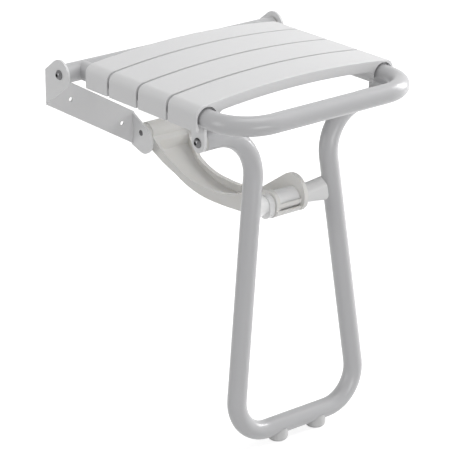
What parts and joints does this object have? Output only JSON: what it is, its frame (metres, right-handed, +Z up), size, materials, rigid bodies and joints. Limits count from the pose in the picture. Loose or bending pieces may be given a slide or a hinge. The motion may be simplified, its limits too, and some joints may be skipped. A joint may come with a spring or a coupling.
{
  "type": "fold-down wall seat",
  "caption": "Wall-mounted folding seat: slatted tube frame hinged on two brackets, with a tubular prop leg that a moulded link swings flat as the seat folds up.",
  "frame": {"origin": "on the wall, midway between the two upper wall screw holes", "axes": "+Z up, -Y out from the wall to the front of the seat, +X to the right as seen from the front"},
  "size_m": [0.3666, 0.3645, 0.485],
  "materials": {
    "white_paint": "satin white powder coat",
    "slat_plastic": "fine-grained white moulded plastic",
    "link_plastic": "smooth white moulded plastic",
    "nylon": "natural white nylon",
    "stainless": "turned stainless steel",
    "foot_rubber": "light grey moulded rubber"
  },
  "bodies": {
    "wall": {"wall_bracket_left": "white_paint", "wall_bracket_right": "white_paint", "seat_hinge_bush_left": "nylon", "seat_hinge_bush_right": "nylon", "link_axle": "stainless"},
    "seat": {"seat_frame_tube": "white_paint", "hinge_cross_tube": "white_paint", "cross_tube_plug_left": "nylon", "cross_tube_plug_right": "nylon", "seat_hinge_screw_left": "stainless", "seat_hinge_screw_right": "stainless", "seat_slat_rear": "slat_plastic", "seat_slat_mid_rear": "slat_plastic", "seat_slat_mid_front": "slat_plastic", "seat_slat_front": "slat_plastic", "leg_tab_left": "white_paint", "leg_tab_right": "white_paint", "leg_pivot_bush_left": "nylon", "leg_pivot_bush_right": "nylon"},
    "leg": {"leg_tube": "white_paint", "leg_crosspiece": "white_paint", "leg_pivot_plug_left": "nylon", "leg_pivot_plug_right": "nylon", "leg_pivot_screw_left": "stainless", "leg_pivot_screw_right": "stainless", "foot_left": "foot_rubber", "foot_right": "foot_rubber"},
    "link": {"link_arm": "link_plastic"}
  },
  "joints": [
    {"name": "seat_fold", "type": "hinge", "parent": "wall", "child": "seat", "pos_m": [0, -0.034, 0.04838], "axis": [-1, 0, 0], "range_deg": [0, 90]},
    {"name": "leg_fold", "type": "hinge", "parent": "seat", "child": "leg", "pos_m": [0, -0.276, 0.01538], "axis": [-1, 0, 0], "range_deg": [-90, 0]},
    {"name": "link_swing", "type": "hinge", "parent": "wall", "child": "link", "pos_m": [0, -0.021, -0.06262], "axis": [-1, 0, 0], "range_deg": [0, 90]}
  ],
  "couplings": [
    {"joint": "leg_fold", "follows": "seat_fold", "ratio": -1},
    {"joint": "link_swing", "follows": "seat_fold", "ratio": 1}
  ]
}
